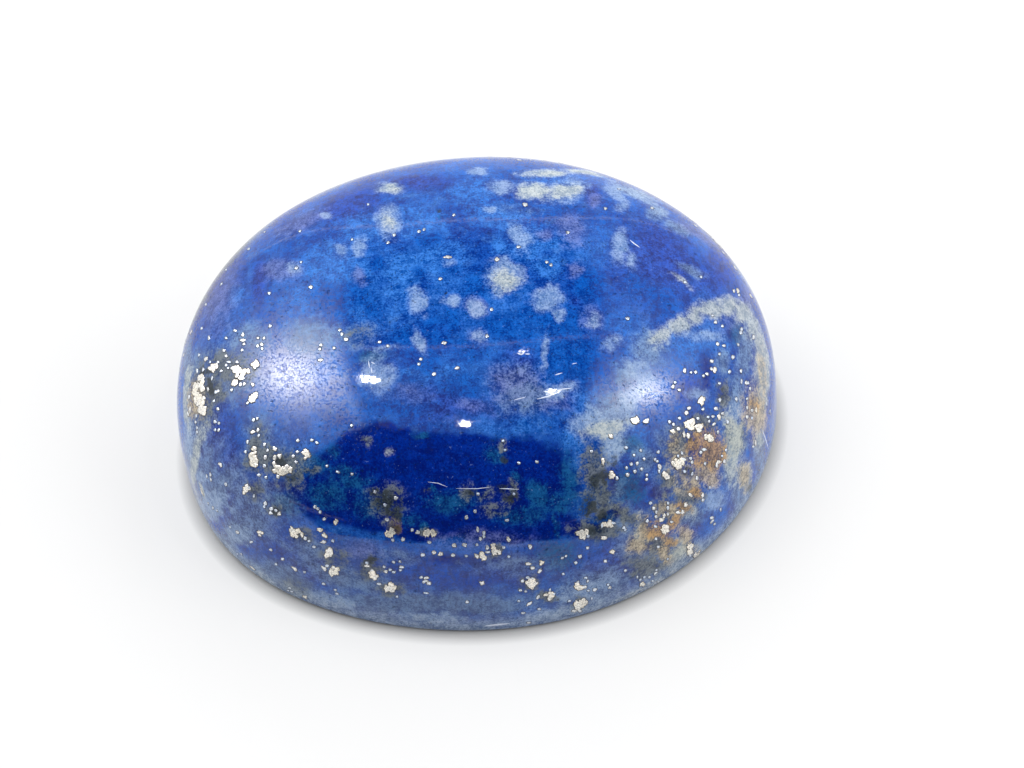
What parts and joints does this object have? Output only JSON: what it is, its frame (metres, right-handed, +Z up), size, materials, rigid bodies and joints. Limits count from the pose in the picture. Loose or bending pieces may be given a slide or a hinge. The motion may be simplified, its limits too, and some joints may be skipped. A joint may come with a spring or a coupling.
{
  "type": "polished lapis lazuli cabochon",
  "caption": "Polished oval lapis lazuli cabochon with a full, slightly lopsided dome, a softly rounded lower edge and a flat base to rest or be set on.",
  "frame": {"origin": "middle of the flat base", "axes": "+X along the stone's long axis, +Z up out of the flat base to the top of the dome"},
  "size_m": [0.025, 0.0208, 0.0096],
  "materials": {
    "lapis_lazuli": "polished, deep blue with pale calcite clouds, a rusty brown matrix and brassy pyrite flecks"
  },
  "bodies": {
    "root": {"lapis_stone": "lapis_lazuli"}
  },
  "joints": []
}
